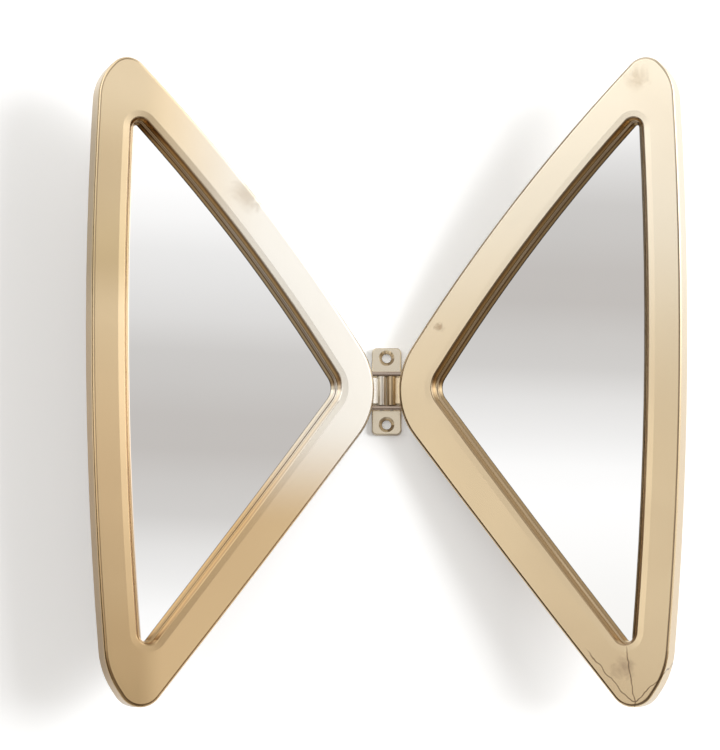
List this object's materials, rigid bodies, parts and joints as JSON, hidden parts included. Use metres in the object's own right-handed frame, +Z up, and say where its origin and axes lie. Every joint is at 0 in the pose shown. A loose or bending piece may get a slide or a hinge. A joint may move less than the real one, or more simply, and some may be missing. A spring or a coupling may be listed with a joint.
{
  "type": "butterfly mirror",
  "caption": "Butterfly-shaped wall mirror: polished cast brass wing frames with recessed mirror glass, swinging like pages on upright pins in a small screw-fixed wall bracket.",
  "frame": {"origin": "middle of the wall bracket's flat back, on the wall", "axes": "+Z up, +Y into the wall, -Y out into the room, +X to the right as seen from the room"},
  "size_m": [0.4348, 0.0944, 0.4702],
  "materials": {
    "wing_brass": "cast, hand-polished to a soft mirror, pale gold",
    "bracket_brass": "cast and polished, a little duller in its corners",
    "mirror_glass": "silvered float glass",
    "tape": "matt foam tape",
    "board": "brown hardboard",
    "clip_steel": "zinc-plated strip",
    "screw_steel": "zinc-plated",
    "pin_steel": "drawn rod",
    "felt": "dark felt"
  },
  "bodies": {
    "bracket": {"wall_bracket": "bracket_brass", "left_hinge_pin": "pin_steel", "right_hinge_pin": "pin_steel"},
    "left_wing": {"left_wing_frame": "wing_brass", "left_mirror_glass": "mirror_glass", "left_glazing_tape": "tape", "left_backing_board": "board", "left_retaining_clips": "clip_steel", "left_clip_screws": "screw_steel", "left_wall_pads": "felt"},
    "right_wing": {"right_wing_frame": "wing_brass", "right_mirror_glass": "mirror_glass", "right_glazing_tape": "tape", "right_backing_board": "board", "right_retaining_clips": "clip_steel", "right_clip_screws": "screw_steel", "right_wall_pads": "felt"}
  },
  "joints": [
    {"name": "left_wing_swing", "type": "hinge", "parent": "bracket", "child": "left_wing", "pos_m": [-0.00375, -0.0068, 0], "axis": [0, 0, 1], "range_deg": [-20, 35]},
    {"name": "right_wing_swing", "type": "hinge", "parent": "bracket", "child": "right_wing", "pos_m": [0.00375, -0.0068, 0], "axis": [0, 0, -1], "range_deg": [-20, 35]}
  ]
}
